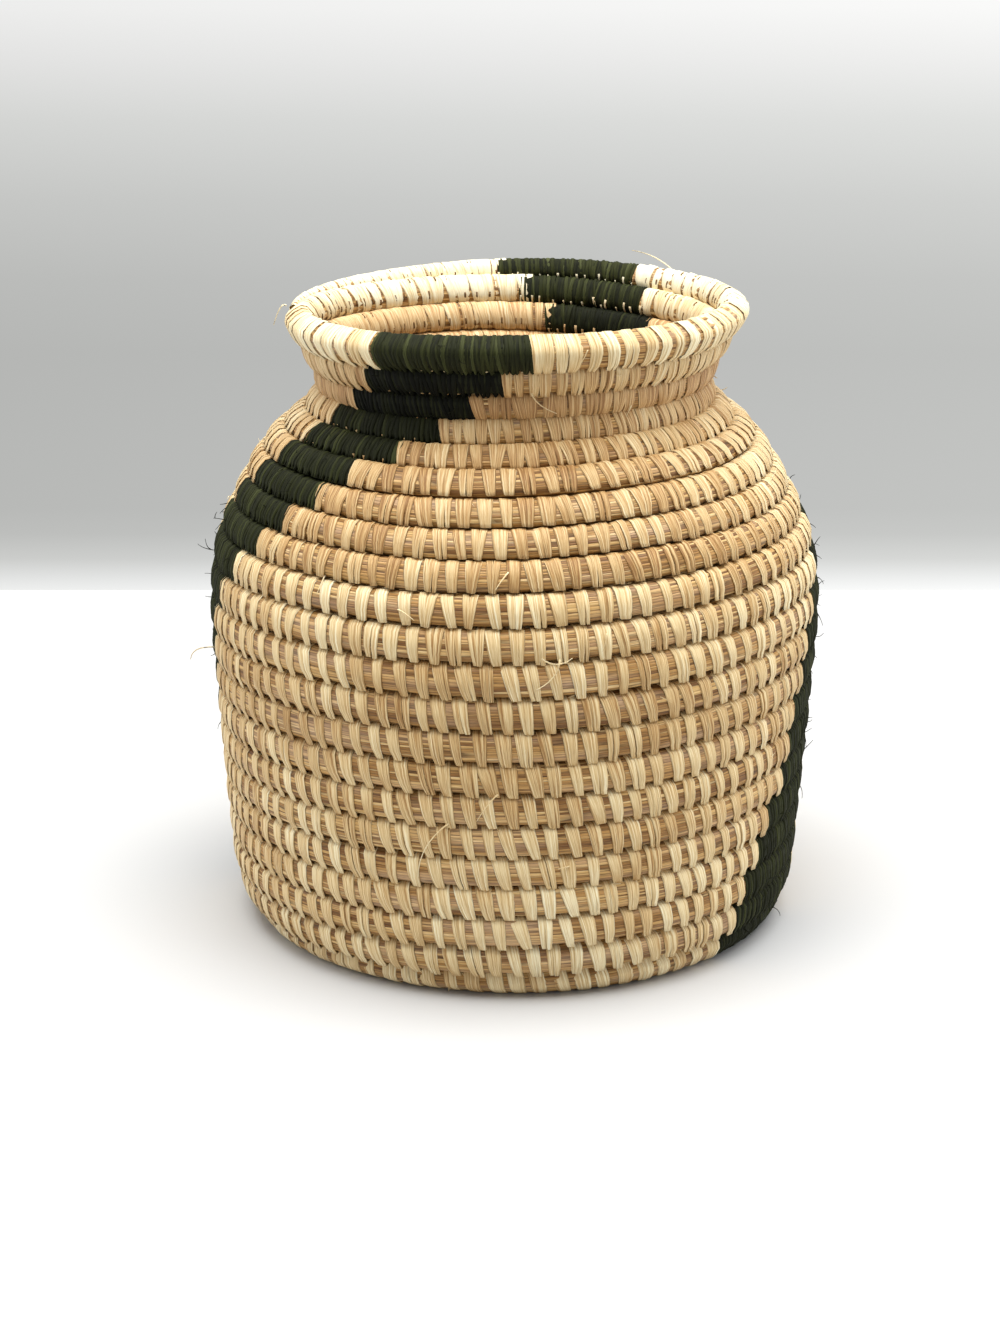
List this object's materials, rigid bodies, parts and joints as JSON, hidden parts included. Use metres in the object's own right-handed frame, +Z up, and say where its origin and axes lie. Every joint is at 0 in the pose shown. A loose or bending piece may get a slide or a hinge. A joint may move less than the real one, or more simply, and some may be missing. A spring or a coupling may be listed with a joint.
{
  "type": "coiled basket",
  "caption": "Jar-shaped coiled straw basket with a full belly, narrow neck, flared rim and stepped dark bands.",
  "frame": {"origin": "on the floor at the basket's axis", "axes": "+Z up, -Y towards the front, where the dark band starts at the rim"},
  "size_m": [0.2033, 0.2034, 0.2074],
  "materials": {
    "straw": "matt straw coil with natural raffia stitches",
    "dark_raffia": "satin dark green dyed raffia, closely wound"
  },
  "bodies": {
    "root": {"base_coil": "straw", "wall_coil": "straw", "front_dark_band_row_02": "dark_raffia", "back_dark_band_row_02": "dark_raffia", "front_dark_band_row_03": "dark_raffia", "back_dark_band_row_03": "dark_raffia", "front_dark_band_row_04": "dark_raffia", "back_dark_band_row_04": "dark_raffia", "front_dark_band_row_05": "dark_raffia", "back_dark_band_row_05": "dark_raffia", "front_dark_band_row_06": "dark_raffia", "back_dark_band_row_06": "dark_raffia", "front_dark_band_row_07": "dark_raffia", "back_dark_band_row_07": "dark_raffia", "front_dark_band_row_08": "dark_raffia", "back_dark_band_row_08": "dark_raffia", "front_dark_band_row_09": "dark_raffia", "back_dark_band_row_09": "dark_raffia", "front_dark_band_row_10": "dark_raffia", "back_dark_band_row_10": "dark_raffia", "front_dark_band_row_11": "dark_raffia", "back_dark_band_row_11": "dark_raffia", "front_dark_band_row_12": "dark_raffia", "back_dark_band_row_12": "dark_raffia", "front_dark_band_row_13": "dark_raffia", "back_dark_band_row_13": "dark_raffia", "front_dark_band_row_14": "dark_raffia", "back_dark_band_row_14": "dark_raffia", "front_dark_band_row_15": "dark_raffia", "back_dark_band_row_15": "dark_raffia", "front_dark_band_row_16": "dark_raffia", "back_dark_band_row_16": "dark_raffia", "front_dark_band_row_17": "dark_raffia", "back_dark_band_row_17": "dark_raffia", "front_dark_band_row_18": "dark_raffia", "back_dark_band_row_18": "dark_raffia", "front_dark_band_row_19": "dark_raffia", "back_dark_band_row_19": "dark_raffia", "front_dark_band_row_20": "dark_raffia", "back_dark_band_row_20": "dark_raffia", "front_dark_band_row_21": "dark_raffia", "back_dark_band_row_21": "dark_raffia", "front_dark_band_row_22": "dark_raffia", "back_dark_band_row_22": "dark_raffia"}
  },
  "joints": []
}
